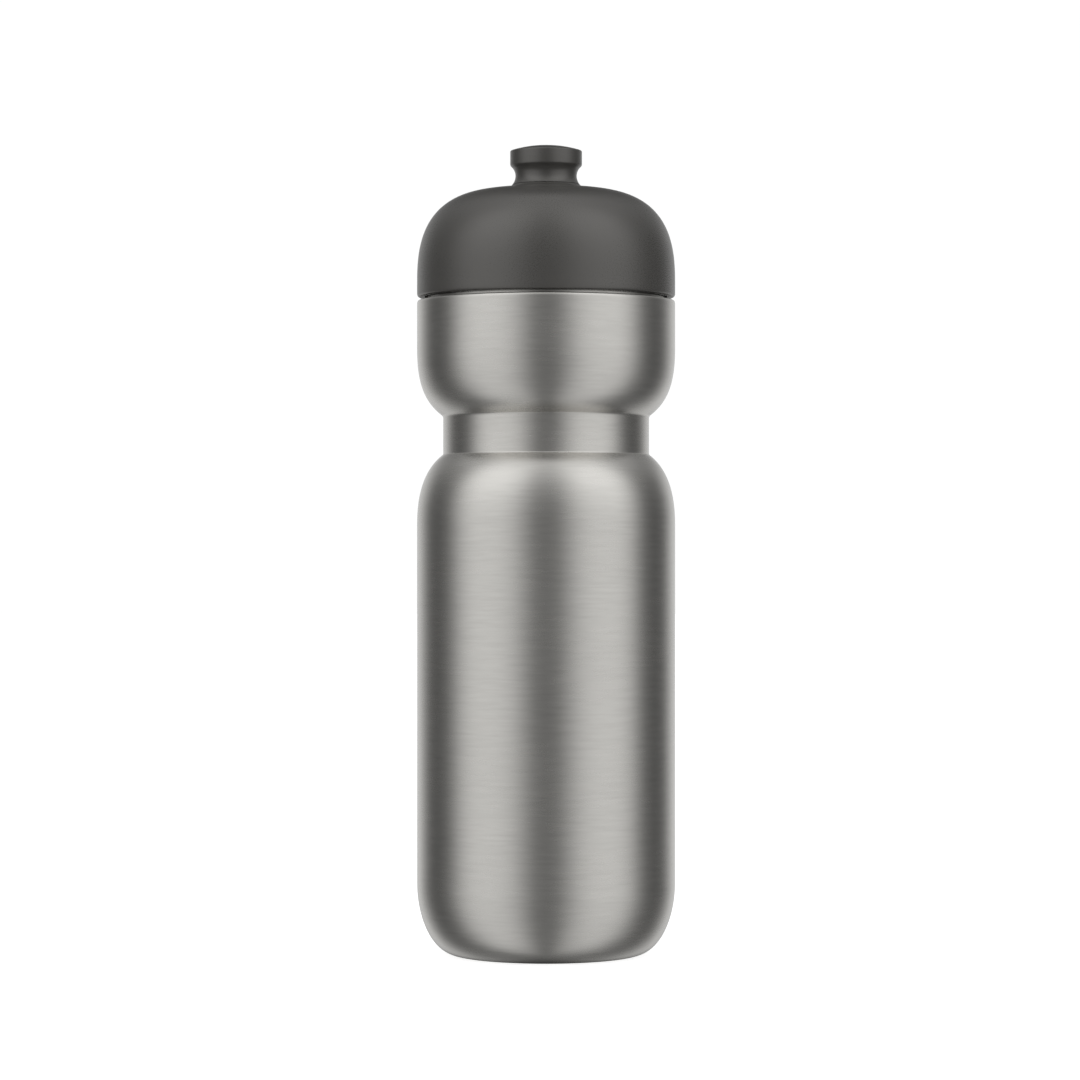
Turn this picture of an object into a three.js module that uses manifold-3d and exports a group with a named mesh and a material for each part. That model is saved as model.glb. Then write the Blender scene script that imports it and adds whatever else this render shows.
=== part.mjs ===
// Insulated steel cycling bottle with a screw-on lid and a push-pull spout.
// Millimetres, +Z up, the bottle's axis is Z, the foot stands on z = 0.
import * as THREE from 'three';
import { mergeVertices } from 'three/addons/utils/BufferGeometryUtils.js';
import Module from 'manifold-3d';

const wasm = await Module();
wasm.setup();

// ---------------------------------------------------------------- driving dimensions
// R_ is a radius from the bottle's axis, Z_ a height above the ground.
const GAP = 0.3;               // clearance left between neighbouring pieces
const SEG = 48;                // facets round the large turned pieces
const SEG_SPOUT = 40;          // facets round the spout pieces
const SEG_SMALL = 24;          // facets round the small pieces

// Outer steel body
const R_BODY = 37.0;
const WALL_OUT = 0.6;
const R_FOOT = 24.88;          // where the foot corner meets the flat rest ring
const Z_FOOT = 20.41;          // where the foot corner meets the straight body
const R_HEM = 21.4;            // inside radius of the rest ring
const Z_HEM = 2.6;             // top of the hem round the base recess
const R_BASE = R_HEM - 0.4;    // base disc inside the hem
const Z_SHOULDER = 123.38;     // start of the shoulder below the cage groove
const R_GROOVE = 29.52;        // floor radius of the cage groove
const Z_GROOVE_LO = 143.29;
const Z_GROOVE_HI = 154.25;
const Z_BULGE = 173.6;         // top of the shoulder above the cage groove
const Z_LEDGE = 187.4;         // shoulder ledge under the lid's edge
const LEDGE_ROUND = 0.9;       // rounding of the ledge's outer corner
const R_LANDING = 34.0;        // raised landing inside the lid's edge
const Z_LANDING = 188.75;
const LANDING_BEVEL = 0.45;
const R_NECK = 29.0;           // neck outside, at the thread root
const Z_NECK = 200.9;          // top edge of the outer neck

// Getter pellet and its clip
const GETTER_Y = 12.5;
const Z_GETTER = 3.35;
const Z_CLIP = 3.3;
const CLIP_THICKNESS = 0.35;
const CLIP_WIDTH = 3.0;
const CLIP_END = 6.4;          // half the clip's length
const ARCH_HALF = 3.85;        // half the inside span of the clip's arch
const ARCH_HEIGHT = 1.55;      // inside height of the arch

// Inner flask
const WALL_IN = 0.5;
const R_INNER = 34.0;          // outside radius
const Z_INNER_SHOULDER = 121.5;
const R_MOUTH = 28.0;          // outside radius at the neck
const Z_INNER_NECK = 140.0;
const Z_WELD = 16.0;           // joint between inner flask and inner base
const Z_INNER_BASE = 6.0;      // underside of the inner base
const R_INNER_FLAT = 22.0;     // flat part of the inner base
const Z_LIP = 201.7;           // top of the drinking mouth lip

// Screw thread
const LEAD = 8.0;              // rise of the lid for one full turn
const STARTS = 2;              // thread starts
const RIB_ROOT_WIDTH = 1.7;
const RIB_CREST_WIDTH = 0.8;
const RIB_SUNK = 0.25;         // depth of the neck rib's root inside the neck
const NECK_TURNS = 1.05;
const LID_TURNS = 1.0;
const Z_THREAD = 191.0;        // foot of the neck thread
const LID_THREAD_CLIMB = 1.0;  // distance the lid thread is moved on along its helix
const NECK_CREST = 30.2;       // outside radius of the neck thread
const SKIRT_IN = 30.6;         // bore of the lid's threaded skirt
const SKIRT_OUT = 32.8;
const LID_CREST = 29.45;       // inside radius of the lid thread

// Lid
const Z_LID = 188.37;          // lower edge
const Z_DOME_FOOT = 192.53;    // top of the straight side
const LID_WALL = 2.2;
const R_LID_IN = R_BODY - LID_WALL;
const Z_PLATE_LO = 203.8;      // liner plate
const Z_PLATE_HI = 206.0;
const R_BORE = 8.8;            // hole in the lid that the spout slides in
const Z_COLLAR = 220.7;        // top of the lid's collar round that hole
const R_WAIST = 8.79;          // smallest radius of the hollow curve under the spout head
const Z_WAIST = 223.25;
const ARC_UP = 3.556;          // radius of the hollow curve above the waist
const ARC_LOW = 3.9;           // and below it, down to the lid
const LOW_CENTRE = [R_WAIST + ARC_LOW, Z_WAIST];
const UP_CENTRE = [R_WAIST + ARC_UP, Z_WAIST];
const Z_DOME = Z_WAIST - ARC_LOW;

// Air vent
const VENT_X = 17.0;           // offset from the bottle's axis
const R_NOZZLE = 2.5;
const NOZZLE_LENGTH = 10;
const NOZZLE_SUNK = 0.5;       // depth of the nozzle's top inside the liner plate
const R_VENT_BORE = 1.8;
const VENT_BORE_LENGTH = 20;

// Spout
const R_HEAD = 10.3;           // spout head
const Z_TOP = 232.0;           // crown of the spout head, pushed down
const CROWN = 34.0;            // crown radius
const R_HOLE = 3.6;            // drinking hole
const R_PLUG = 3.25;           // fixed plug that closes it
const R_CORE_IN = 6.0;         // spout core bore
const WEBS = 3;                // webs that hold the plug
const WEB_SIZE = [4.4, 1.2, 8.0];
const Z_WEB = 216.2;           // middle height of the webs

// ---------------------------------------------------------------- finishes
const STEEL = { metalness: 1.0 };
const PLASTIC = { metalness: 0.0 };
const FINISH = {
  body: { ...STEEL, color: 0xb4b3ac, roughness: 0.3 },
  base: { ...STEEL, color: 0xa9a8a2, roughness: 0.38 },
  cover: { ...STEEL, color: 0xb4b3ac, roughness: 0.32 },
  clip: { ...STEEL, color: 0x9c9b96, roughness: 0.4 },
  flask: { ...STEEL, color: 0xa5a49f, roughness: 0.34 },
  foil: { ...STEEL, color: 0xc3c5c8, roughness: 0.25 },
  bead: { ...PLASTIC, color: 0x3d4a3a, roughness: 0.2 },
  getter: { ...PLASTIC, color: 0x6e6a66, roughness: 0.8 },
  dome: { ...PLASTIC, color: 0x3b3a38, roughness: 0.62 },
  mouthpiece: { ...PLASTIC, color: 0x3b3a38, roughness: 0.6 },
  liner: { ...PLASTIC, color: 0x2c2c2b, roughness: 0.5 },
  valve: { ...PLASTIC, color: 0x2c2c2b, roughness: 0.45 },
  gasket: { ...PLASTIC, color: 0xb9bab8, roughness: 0.55 },
  oRing: { ...PLASTIC, color: 0x1d1d1d, roughness: 0.4 },
  tube: { ...PLASTIC, color: 0x8f9190, roughness: 0.5 },
};

// ---------------------------------------------------------------- outlines
// Outlines are lists of [radius, height] points.
const toVectors = (points) => points.map(([x, y]) => new THREE.Vector2(x, y));

// Points of a cubic curve, first point left out.
function cubic(start, startPull, endPull, end, steps) {
  const curve = new THREE.CubicBezierCurve(...toVectors([start, startPull, endPull, end]));
  return curve.getPoints(steps).slice(1).map(({ x, y }) => [x, y]);
}

// Points of a circular arc, angles in degrees, both ends kept.
function arc([centreX, centreY], radius, from, to, steps) {
  return Array.from({ length: steps + 1 }, (_, i) => {
    const angle = THREE.MathUtils.degToRad(from + ((to - from) * i) / steps);
    return [centreX + radius * Math.cos(angle), centreY + radius * Math.sin(angle)];
  });
}

function direction([x0, y0], [x1, y1]) {
  const length = Math.hypot(x1 - x0, y1 - y0);
  return [(x1 - x0) / length, (y1 - y0) / length];
}

// A line of points moved sideways to its left, with mitred corners.
function offset(points, distance) {
  return points.map((point, i) => {
    const next = points[i + 1];
    const before = i > 0 ? direction(points[i - 1], point) : direction(point, next);
    const after = next ? direction(point, next) : before;
    const mitre = [-(before[1] + after[1]), before[0] + after[0]];
    const scale = distance / (mitre[1] * before[0] - mitre[0] * before[1]);
    return [point[0] + mitre[0] * scale, point[1] + mitre[1] * scale];
  });
}

// Closed wall section; each side of the line has its own number of curve steps.
const wall = (line, thickness, steps, offsetSteps) =>
  [...line(steps), ...offset(line(offsetSteps), thickness).reverse()];

// ---------------------------------------------------------------- geometry helpers
// Turned surface about Z. The profile closes on itself, or starts and ends on the axis.
function turned(profile, segments = SEG) {
  const points = toVectors(profile);
  if (points[0].x !== 0 || points.at(-1).x !== 0) points.push(points[0].clone());
  return new THREE.LatheGeometry(points, segments).rotateX(Math.PI / 2);
}

// Solid for boolean work: seams welded, zero-area triangles dropped, faces outwards.
function toSolid(geometry) {
  const bare = new THREE.BufferGeometry();
  bare.setAttribute('position', geometry.attributes.position);
  bare.setIndex(geometry.index);
  const welded = mergeVertices(bare, 1e-4);
  const index = welded.index.array;
  const position = welded.attributes.position;
  const corner = (vertex) => new THREE.Vector3().fromBufferAttribute(position, vertex);
  const triangles = [];
  let volume = 0;
  for (let i = 0; i < index.length; i += 3) {
    const [first, second, third] = index.subarray(i, i + 3);
    if (first === second || second === third || first === third) continue;
    triangles.push(first, second, third);
    volume += corner(first).dot(corner(second).cross(corner(third))) / 6;
  }
  if (volume < 0) {
    for (let i = 0; i < triangles.length; i += 3) {
      [triangles[i], triangles[i + 1]] = [triangles[i + 1], triangles[i]];
    }
  }
  return new wasm.Manifold(new wasm.Mesh({
    numProp: 3,
    vertProperties: new Float32Array(position.array),
    triVerts: new Uint32Array(triangles),
  }));
}

function toGeometry(solid) {
  const mesh = solid.getMesh();
  const geometry = new THREE.BufferGeometry();
  const positions = new Float32Array(mesh.vertProperties);
  geometry.setAttribute('position', new THREE.BufferAttribute(positions, 3));
  geometry.setIndex(new THREE.BufferAttribute(new Uint32Array(mesh.triVerts), 1));
  return geometry;
}

// Screw rib: a straight bar bent round the Z axis while it climbs. Both ends run out
// into the wall it stands on.
function rib({ root, crest, bottom, turns, phase }) {
  const steps = Math.round(SEG * turns);
  const geometry = new THREE.BoxGeometry(1, 1, 1, steps, 1, 1);
  const position = geometry.attributes.position;
  const fade = 2.5 / steps; // share of the rib's length over which an end runs out
  for (let i = 0; i < position.count; i++) {
    const along = position.getX(i) + 0.5;
    const onCrest = position.getY(i) > 0;
    const side = Math.sign(position.getZ(i));
    const full = Math.min(1, Math.min(along, 1 - along) / fade);
    const radius = onCrest ? root + (crest - root) * (0.25 + 0.75 * full) : root;
    const width = (onCrest ? RIB_CREST_WIDTH : RIB_ROOT_WIDTH) * (0.5 + 0.5 * full);
    const angle = phase + along * turns * Math.PI * 2;
    const z = bottom + LEAD * turns * along + (side * width) / 2;
    position.setXYZ(i, radius * Math.cos(angle), radius * Math.sin(angle), z);
  }
  return geometry;
}

// Adds one rib per thread start.
function addThread(solid, { phase, ...shape }) {
  for (let start = 0; start < STARTS; start++) {
    const startPhase = (start * 2 * Math.PI) / STARTS + phase;
    solid = solid.add(toSolid(rib({ ...shape, phase: startPhase })));
  }
  return solid;
}

// Upright cylinder on the vent's axis.
const ventCylinder = (radius, length, middle) =>
  new THREE.CylinderGeometry(radius, radius, length, SEG_SMALL)
    .rotateX(Math.PI / 2)
    .translate(VENT_X, 0, middle);

function group(name) {
  const result = new THREE.Group();
  result.name = name;
  return result;
}

// Flat-shaded mesh added to a group.
function piece(parent, name, geometry, finish, place = [0, 0, 0]) {
  const flat = geometry.index ? geometry.toNonIndexed() : geometry;
  flat.computeVertexNormals();
  const mesh = new THREE.Mesh(flat, new THREE.MeshStandardMaterial(finish));
  mesh.name = name;
  mesh.position.set(...place);
  parent.add(mesh);
}

// ---------------------------------------------------------------- outer steel body
// Outside line from the hem under the foot, up the body, over the ledge and the raised
// landing and up the neck.
function shellLine(steps) {
  const ledgeCentre = [R_BODY - LEDGE_ROUND, Z_LEDGE - LEDGE_ROUND];
  return [
    [R_HEM, Z_HEM], [R_HEM, 0], [R_FOOT, 0],
    ...cubic([R_FOOT, 0], [33.04, 0], [R_BODY, 11.23], [R_BODY, Z_FOOT], steps),
    [R_BODY, Z_SHOULDER],
    ...cubic([R_BODY, Z_SHOULDER], [R_BODY, 135.42], [33.07, 140.6],
      [R_GROOVE, Z_GROOVE_LO], steps),
    [R_GROOVE, Z_GROOVE_HI],
    ...cubic([R_GROOVE, Z_GROOVE_HI], [34.69, 158.11], [R_BODY, 163.2],
      [R_BODY, Z_BULGE], steps),
    ...arc(ledgeCentre, LEDGE_ROUND, 0, 90, 2),
    [R_LANDING, Z_LEDGE], [R_LANDING, Z_LANDING - LANDING_BEVEL],
    [R_LANDING - LANDING_BEVEL, Z_LANDING],
    [R_NECK + 1.0, Z_LANDING], [R_NECK + 0.3, Z_LANDING + 0.3], [R_NECK, Z_LANDING + 1.0],
    [R_NECK, Z_NECK],
  ];
}

const outerShell = () => toGeometry(addThread(toSolid(turned(wall(shellLine, WALL_OUT, 6, 3))), {
  root: R_NECK - RIB_SUNK,
  crest: NECK_CREST,
  bottom: Z_THREAD,
  turns: NECK_TURNS,
  phase: 0,
}));

// Stamped base disc set inside the hem, with a pump-out hole in a central dimple.
const outerBase = () => turned([
  [1.6, 2.7], [5.0, 2.7], [6.4, 2.0], [R_BASE - 0.6, 2.0], [R_BASE - 0.6, 1.5], [R_BASE, 1.5],
  [R_BASE, 2.6], [6.6, 2.6], [5.2, 3.3], [1.6, 3.3],
]);

// Bead that seals the pump-out hole.
const pumpOutPlug = () => turned([
  [0, 1.9], [0.9, 2.1], [1.25, 2.6], [1.25, 3.4], [0.8, 3.8], [0, 4.0],
], SEG_SMALL);

// Thin cover disc over the recess, with a pressed ring.
const baseCover = () => turned([
  [0, 0.35], [9.0, 0.35], [9.4, 0.65], [10.6, 0.65], [11.0, 0.35], [R_BASE - 0.1, 0.35],
  [R_BASE - 0.1, 1.15], [0, 1.15],
]);

// Gas-absorbing pellet in the vacuum space, its underside at z = 0.
const getter = () => turned([
  [0, 0], [3.2, 0], [3.5, 0.3], [3.5, 0.9], [3.2, 1.2], [0, 1.2],
], SEG_SMALL);

// Spring clip along X: two feet and an arch over the pellet.
function getterClip() {
  const archOut = ARCH_HALF + CLIP_THICKNESS;
  const archTop = ARCH_HEIGHT + CLIP_THICKNESS;
  const strap = new THREE.Shape(toVectors([
    [-CLIP_END, 0], [-ARCH_HALF, 0], [-ARCH_HALF, ARCH_HEIGHT],
    [ARCH_HALF, ARCH_HEIGHT], [ARCH_HALF, 0], [CLIP_END, 0],
    [CLIP_END, CLIP_THICKNESS], [archOut, CLIP_THICKNESS], [archOut, archTop],
    [-archOut, archTop], [-archOut, CLIP_THICKNESS], [-CLIP_END, CLIP_THICKNESS],
  ]));
  return new THREE.ExtrudeGeometry(strap, { depth: CLIP_WIDTH, bevelEnabled: false })
    .translate(0, 0, -CLIP_WIDTH / 2)
    .rotateX(Math.PI / 2);
}

// ---------------------------------------------------------------- inner flask
const innerLine = (steps) => [
  [R_INNER, Z_WELD + GAP], [R_INNER, Z_INNER_SHOULDER],
  ...cubic([R_INNER, Z_INNER_SHOULDER], [R_INNER, 132.0], [R_MOUTH, 132.5],
    [R_MOUTH, Z_INNER_NECK], steps),
  [R_MOUTH, Z_NECK + 0.1],
];

// Flask wall with the lip turned out over the outer neck.
const innerFlask = () => turned([
  ...innerLine(5),
  [R_MOUTH + 0.3, Z_NECK + 0.35], [R_NECK - 0.1, Z_NECK + 0.35], [R_NECK, Z_NECK + 0.55],
  [R_NECK - 0.2, Z_LIP], [R_MOUTH - 0.2, Z_LIP], [R_MOUTH - WALL_IN, Z_LIP - 0.3],
  ...offset(innerLine(4), WALL_IN).reverse().slice(1),
]);

// Stamped bottom of the inner flask.
const innerBaseLine = (steps) => [
  [0, Z_INNER_BASE], [R_INNER_FLAT, Z_INNER_BASE],
  ...cubic([R_INNER_FLAT, Z_INNER_BASE], [29.0, Z_INNER_BASE], [R_INNER, 9.5],
    [R_INNER, Z_WELD], steps),
];
const innerBase = () => turned(wall(innerBaseLine, WALL_IN, 4, 4));

// Heat-reflecting foil sleeve round the inner flask.
const heatFoil = () => turned([
  [R_INNER + 0.35, 18.0], [R_INNER + 0.55, 18.0],
  [R_INNER + 0.55, 120.0], [R_INNER + 0.35, 120.0],
]);

// ---------------------------------------------------------------- lid
const domeLine = (steps) => [
  [R_BODY, Z_DOME_FOOT],
  ...cubic([R_BODY, Z_DOME_FOOT], [R_BODY, 201.4], [36.74, Z_DOME],
    [LOW_CENTRE[0], Z_DOME], steps),
];

const lidDome = () => turned([
  [R_LID_IN, Z_LID + 0.3], [R_LID_IN + 0.3, Z_LID], [R_BODY - 0.8, Z_LID],
  [R_BODY - 0.23, Z_LID + 0.23], [R_BODY, Z_LID + 0.8],
  ...domeLine(9),
  ...arc(LOW_CENTRE, ARC_LOW, 270, 220.83, 4).slice(1),
  [R_BORE, Z_COLLAR], [R_BORE, 217.3],
  ...offset(domeLine(6), LID_WALL).reverse(),
]);

// Liner: flat plate with a threaded skirt, a locating ring that reaches into the mouth
// and a nozzle for the air tube.
function lidLiner() {
  const plate = toSolid(turned([
    [6.6, Z_PLATE_LO], [24.5, Z_PLATE_LO], [24.5, 200.9], [24.9, 200.5], [25.8, 200.5],
    [26.1, 200.9], [26.1, Z_PLATE_LO], [SKIRT_IN, Z_PLATE_LO], [SKIRT_IN, 189.7],
    [SKIRT_IN + 0.4, 189.3], [R_LID_IN - 0.4, 189.3], [R_LID_IN - 0.4, 190.7],
    [SKIRT_OUT, 190.7], [SKIRT_OUT, Z_PLATE_HI - 0.6], [SKIRT_OUT - 0.6, Z_PLATE_HI],
    [6.6, Z_PLATE_HI],
  ]));
  // The lid's ribs run midway between the neck's.
  const threaded = addThread(plate, {
    root: SKIRT_IN + 0.3,
    crest: LID_CREST,
    bottom: Z_THREAD - LEAD / STARTS / 2 + LID_THREAD_CLIMB,
    turns: LID_TURNS,
    phase: (2 * Math.PI * LID_THREAD_CLIMB) / LEAD,
  });
  const nozzleMiddle = Z_PLATE_LO - NOZZLE_LENGTH / 2 + NOZZLE_SUNK;
  const nozzle = ventCylinder(R_NOZZLE, NOZZLE_LENGTH, nozzleMiddle);
  const bore = ventCylinder(R_VENT_BORE, VENT_BORE_LENGTH, Z_PLATE_LO - 2);
  return toGeometry(threaded.add(toSolid(nozzle)).subtract(toSolid(bore)));
}

// Main gasket between the liner plate and the mouth lip.
function lidSeal() {
  const bottom = Z_LIP + GAP;
  const top = Z_PLATE_LO - GAP;
  return turned([
    [26.5, bottom + 0.3], [26.8, bottom], [27.6, bottom], [28.0, bottom + 0.3],
    [28.4, bottom], [29.9, bottom], [30.2, bottom + 0.3], [30.2, top], [26.5, top],
  ]);
}

// Fixed valve stem: flanged tube snapped into the liner, webs and a central plug.
function valveStem() {
  const tube = turned([
    [3.2, 202.4], [6.2, 202.4], [7.1, 202.9], [7.1, 203.4], [6.2, 203.4], [6.2, 207.6],
    [10.2, 207.6], [10.2, 209.2], [5.2, 209.2], [5.2, 215.9], [4.1, 215.9], [4.1, 217.9],
    [5.2, 217.9], [5.2, 220.6], [4.8, 221.0], [3.2, 221.0],
  ], SEG_SMALL);
  const plug = turned([
    [0, 213.0], [1.9, 214.2], [1.9, 225.6], [R_PLUG - 0.2, 227.6], [R_PLUG, 228.0],
    [R_PLUG, 231.2], [R_PLUG - 0.35, 231.65], [1.6, 231.9], [0, Z_TOP],
  ], SEG_SMALL);
  let solid = toSolid(tube).add(toSolid(plug));
  for (let i = 0; i < WEBS; i++) {
    const web = new THREE.BoxGeometry(...WEB_SIZE)
      .translate(WEB_SIZE[0] / 2, 0, Z_WEB)
      .rotateZ(THREE.MathUtils.degToRad(90 + (360 / WEBS) * i));
    solid = solid.add(toSolid(web));
  }
  return toGeometry(solid);
}

// Flat gasket under the stem's flange.
const stemGasket = () => turned([
  [6.9, Z_PLATE_HI + GAP], [9.8, Z_PLATE_HI + GAP], [9.8, 207.3], [6.9, 207.3],
], SEG_SMALL);

// Ring that wipes the spout's bore, eight-sided in section.
const stemORing = () => turned(arc([5.07, 216.9], 0.6, 0, 315, 7), SEG_SMALL);

// Duckbill air valve: flange above the plate, body and closed lips inside the nozzle.
const ventValve = () => turned([
  [0, 199.6], [0.5, 199.6], [1.2, 202.6], [1.45, 203.4], [1.45, Z_PLATE_HI + GAP],
  [3.8, Z_PLATE_HI + GAP], [3.8, 207.3], [1.0, 207.3], [1.0, 204.0], [0, 203.2],
], SEG_SMALL);

// Air tube from the nozzle down towards the bottom of the flask.
const ventTube = () => turned([
  [2.8, 15.0], [3.6, 15.0], [3.6, 202.8], [2.8, 202.8],
], SEG_SMALL);

// ---------------------------------------------------------------- spout
// Hard core: sliding skirt with a stop lip at its foot and a bead that grips the cover.
const spoutCore = () => turned([
  [R_CORE_IN, 209.5], [9.3, 209.5], [9.6, 209.8], [9.6, 211.1], [9.2, 211.5], [8.4, 211.5],
  [8.4, 220.6], [7.0, 220.6], [7.0, 226.1], [7.5, 226.5], [7.5, 227.1], [7.0, 227.5],
  [7.0, 228.6], [R_CORE_IN, 228.6],
], SEG_SPOUT);

// Soft mouthpiece over the core.
function mouthpiece() {
  const crownZ = (radius) => Z_TOP - (CROWN - Math.sqrt(CROWN * CROWN - radius * radius));
  return turned([
    [7.3, 221.0],
    ...arc(LOW_CENTRE, ARC_LOW, 215.2, 180, 4),
    ...arc(UP_CENTRE, ARC_UP, 180, 130.2, 5).slice(1),
    [R_HEAD - 0.06, 226.22], [R_HEAD, 226.5], [R_HEAD, crownZ(R_HEAD) - 0.3],
    ...[R_HEAD - 0.3, 8.0, 6.0, R_HOLE + 0.3].map((radius) => [radius, crownZ(radius)]),
    [R_HOLE, crownZ(R_HOLE) - 0.3], [R_HOLE, 229.4], [4.6, 228.95], [7.3, 228.95],
    [7.3, 227.9], [7.85, 227.5], [7.85, 226.1], [7.3, 225.7],
  ], SEG_SPOUT);
}

// ---------------------------------------------------------------- assembly
const bottle = group('water_bottle');
piece(bottle, 'outer_shell', outerShell(), FINISH.body);
piece(bottle, 'outer_base', outerBase(), FINISH.base);
piece(bottle, 'pump_out_plug', pumpOutPlug(), FINISH.bead);
piece(bottle, 'base_cover', baseCover(), FINISH.cover);
piece(bottle, 'getter', getter(), FINISH.getter, [0, GETTER_Y, Z_GETTER]);
piece(bottle, 'getter_clip', getterClip(), FINISH.clip, [0, GETTER_Y, Z_CLIP]);
piece(bottle, 'inner_flask', innerFlask(), FINISH.flask);
piece(bottle, 'inner_base', innerBase(), FINISH.flask);
piece(bottle, 'heat_foil', heatFoil(), FINISH.foil);

const lid = group('lid');
bottle.add(lid);
piece(lid, 'lid_dome', lidDome(), FINISH.dome);
piece(lid, 'lid_liner', lidLiner(), FINISH.liner);
piece(lid, 'lid_seal', lidSeal(), FINISH.gasket);
piece(lid, 'valve_stem', valveStem(), FINISH.valve);
piece(lid, 'stem_gasket', stemGasket(), FINISH.gasket);
piece(lid, 'stem_o_ring', stemORing(), FINISH.oRing);
piece(lid, 'vent_valve', ventValve(), FINISH.gasket, [VENT_X, 0, 0]);
piece(lid, 'vent_tube', ventTube(), FINISH.tube, [VENT_X, 0, 0]);

const spout = group('spout');
lid.add(spout);
piece(spout, 'spout_core', spoutCore(), FINISH.valve);
piece(spout, 'mouthpiece', mouthpiece(), FINISH.mouthpiece);

export default bottle;
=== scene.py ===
# A double-walled steel bottle with a screw lid and a spout. It stands upright on z = 0 with its
# axis on Z, and the camera looks at it along +Y. Outlines are in millimetres, meshes in metres.
import math

import bmesh
import bpy
from mathutils import Matrix, Vector


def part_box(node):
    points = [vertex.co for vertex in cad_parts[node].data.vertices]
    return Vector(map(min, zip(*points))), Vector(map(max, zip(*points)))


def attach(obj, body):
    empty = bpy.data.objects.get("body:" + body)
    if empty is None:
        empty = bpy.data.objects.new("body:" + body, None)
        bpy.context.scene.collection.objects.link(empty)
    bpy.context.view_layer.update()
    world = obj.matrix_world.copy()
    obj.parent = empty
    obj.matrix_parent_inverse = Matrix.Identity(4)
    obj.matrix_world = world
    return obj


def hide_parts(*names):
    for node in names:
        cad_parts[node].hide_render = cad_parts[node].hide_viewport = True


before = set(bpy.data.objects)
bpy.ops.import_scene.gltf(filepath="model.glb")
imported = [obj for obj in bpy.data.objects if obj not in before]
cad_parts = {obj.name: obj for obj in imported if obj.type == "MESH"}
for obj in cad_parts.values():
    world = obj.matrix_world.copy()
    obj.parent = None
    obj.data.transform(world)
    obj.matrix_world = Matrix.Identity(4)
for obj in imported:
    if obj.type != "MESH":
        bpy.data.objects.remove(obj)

MM = 0.001
TAU = 2 * math.pi
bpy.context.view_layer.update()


def cad_box(node):
    """Low and high corner of a CAD piece, in millimetres."""
    return [[1000 * c for c in corner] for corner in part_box(node)]


# ------------------------------------------------------------------ sizes, millimetres
R_BODY, _, Z_NECK = cad_box("outer_shell")[1]
SHELL_WALL = 0.6
R_GROOVE, Z_GROOVE_LOW, Z_GROOVE_HIGH = 29.52, 143.29, 154.25
R_NECK, Z_LEDGE = 29.0, 187.4
R_LANDING, Z_LANDING = 34.0, 188.75     # raised landing inside the lid's edge
R_FOOT = 21.0                           # base plate inside the shell's hem

R_FLASK, R_MOUTH, FLASK_WALL = 34.0, 28.0, 0.5

R_LID, Z_LID = cad_box("lid_dome")[1][0], cad_box("lid_dome")[0][2]
LID_WALL = 2.2
R_LINER = 30.6                          # threaded bore of the liner
VENT_X = (cad_box("vent_tube")[0][0] + cad_box("vent_tube")[1][0]) / 2

THREAD_LEAD, THREAD_STARTS, THREAD_TURNS = 8.0, 2, 1.05
RIB_WIDTH = 2.15
RIB_CREST, RIB_FOOT = 0.27 * RIB_WIDTH, 0.56 * RIB_WIDTH    # half widths at top and foot
RIB_FADE = 0.07                         # turns over which a rib rises at each end
THREAD_BAND = 0.05                      # a radius this near the thread's wall carries the rib

R_HEAD = cad_box("mouthpiece")[1][0]
Z_TOP = cad_box("valve_stem")[1][2]
R_WAIST, Z_WAIST = 8.79, 223.25         # smallest radius of the hollow curve under the spout head
ARC_UP, ARC_LOW = 3.556, 3.9            # radius of that curve above and below the waist
Z_DOME = Z_WAIST - ARC_LOW
Z_COLLAR = 220.7
R_CROWN = 34.0                          # sphere on top of the spout head


# ------------------------------------------------------------------ outlines
# An outline is a line of (radius, z) points. A third number is the length that soften cuts off
# on both sides of that corner.
def cubic(a, b, c, d, steps):
    """Points of a Bezier curve, without its first."""
    points = []
    for i in range(1, steps + 1):
        t = i / steps
        u = 1 - t
        points.append(tuple(u**3 * a[k] + 3 * u * u * t * b[k] + 3 * u * t * t * c[k] + t**3 * d[k]
                            for k in (0, 1)))
    return points


def arc(x, y, radius, start, end, steps):
    """Points of a circular arc between two angles in degrees."""
    angles = [math.radians(start + (end - start) * i / steps) for i in range(steps + 1)]
    return [(x + radius * math.cos(a), y + radius * math.sin(a)) for a in angles]


def walk(points, i, step, length):
    """The place a length away from point i along the closed line, and how many points it passed."""
    here, left, passed = points[i][:2], length, 0
    while True:
        i = (i + step) % len(points)
        there = points[i][:2]
        run = math.dist(here, there)
        if run >= left:
            t = left / max(run, 1e-9)
            return tuple(a + (b - a) * t for a, b in zip(here, there)), passed
        left -= run
        here = there
        passed += 1


def soften(points, steps=6):
    """Rounds the marked corners of a closed line."""
    cuts, skipped = {}, set()
    for i, point in enumerate(points):
        if len(point) > 2:
            before, back = walk(points, i, -1, point[2])
            after, ahead = walk(points, i, 1, point[2])
            cuts[i] = before, after
            skipped.update((i + k) % len(points) for k in range(1 - back, ahead + 1))
    out = []
    for i, point in enumerate(points):
        if i in cuts:
            a, b = cuts[i]
            for k in range(steps + 1):
                t = k / steps
                out.append(tuple((1 - t) ** 2 * a[c] + 2 * t * (1 - t) * point[c] + t * t * b[c]
                                 for c in (0, 1)))
        elif i not in skipped:
            out.append(point)
    return out


def soften_solid(points):
    """Softens a line that starts and ends on the axis, and keeps both ends exactly there."""
    return [points[0]] + [p for p in soften(points) if p[0] > 0.01] + [points[-1]]


def dense(points, step, low=-math.inf, high=math.inf):
    """Splits the runs of a closed line between two heights so that none is much over step."""
    out = []
    for p, q in zip(points, points[1:] + points[:1]):
        out.append(p)
        if low <= (p[1] + q[1]) / 2 <= high:
            pieces = int(math.dist(p, q) / step)
            out += [(p[0] + (q[0] - p[0]) * k / pieces, p[1] + (q[1] - p[1]) * k / pieces)
                    for k in range(1, pieces)]
    return out


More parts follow.
